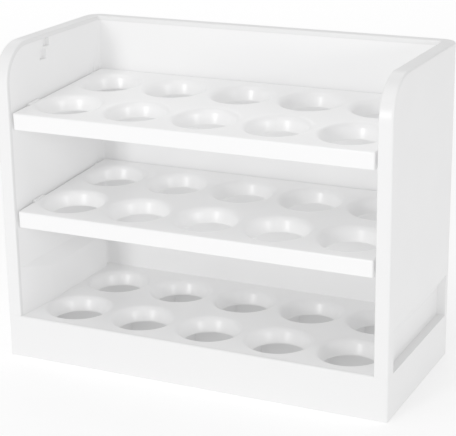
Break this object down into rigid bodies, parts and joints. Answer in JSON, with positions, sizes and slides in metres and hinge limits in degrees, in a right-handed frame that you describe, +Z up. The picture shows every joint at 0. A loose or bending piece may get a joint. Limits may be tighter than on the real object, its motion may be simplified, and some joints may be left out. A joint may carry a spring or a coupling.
{
  "type": "egg holder",
  "caption": "Free-standing egg holder for a refrigerator: an open-fronted casing with tiers of flared egg holes, the upper tiers being trays that flip up at the rear.",
  "frame": {"origin": "centre of the footprint, on the surface the holder stands on", "axes": "+X to the right seen from the open front, +Y from the open front to the back panel, +Z up"},
  "size_m": [0.26, 0.122, 0.205],
  "materials": {
    "casing_plastic": "glossy white moulded plastic",
    "liner_plastic": "satin white moulded plastic",
    "tray_plastic": "glossy white moulded plastic, polished inside the egg holes",
    "pin_plastic": "smooth white moulded plastic"
  },
  "bodies": {
    "casing": {"base_shell": "casing_plastic", "left_side_shell": "casing_plastic", "right_side_shell": "casing_plastic", "back_shell": "casing_plastic", "left_side_liner": "liner_plastic", "right_side_liner": "liner_plastic", "back_liner": "liner_plastic", "bottom_egg_plate": "tray_plastic"},
    "middle_tray_body": {"middle_tray": "tray_plastic", "middle_tray_left_pin": "pin_plastic", "middle_tray_right_pin": "pin_plastic"},
    "top_tray_body": {"top_tray": "tray_plastic", "top_tray_left_pin": "pin_plastic", "top_tray_right_pin": "pin_plastic"}
  },
  "joints": [
    {"name": "middle_tray_flip", "type": "hinge", "parent": "casing", "child": "middle_tray_body", "pos_m": [0, 0.0422, 0.0994], "axis": [-1, 0, 0], "range_deg": [0, 31]},
    {"name": "top_tray_flip", "type": "hinge", "parent": "casing", "child": "top_tray_body", "pos_m": [0, 0.0422, 0.1634], "axis": [-1, 0, 0], "range_deg": [0, 96]}
  ]
}
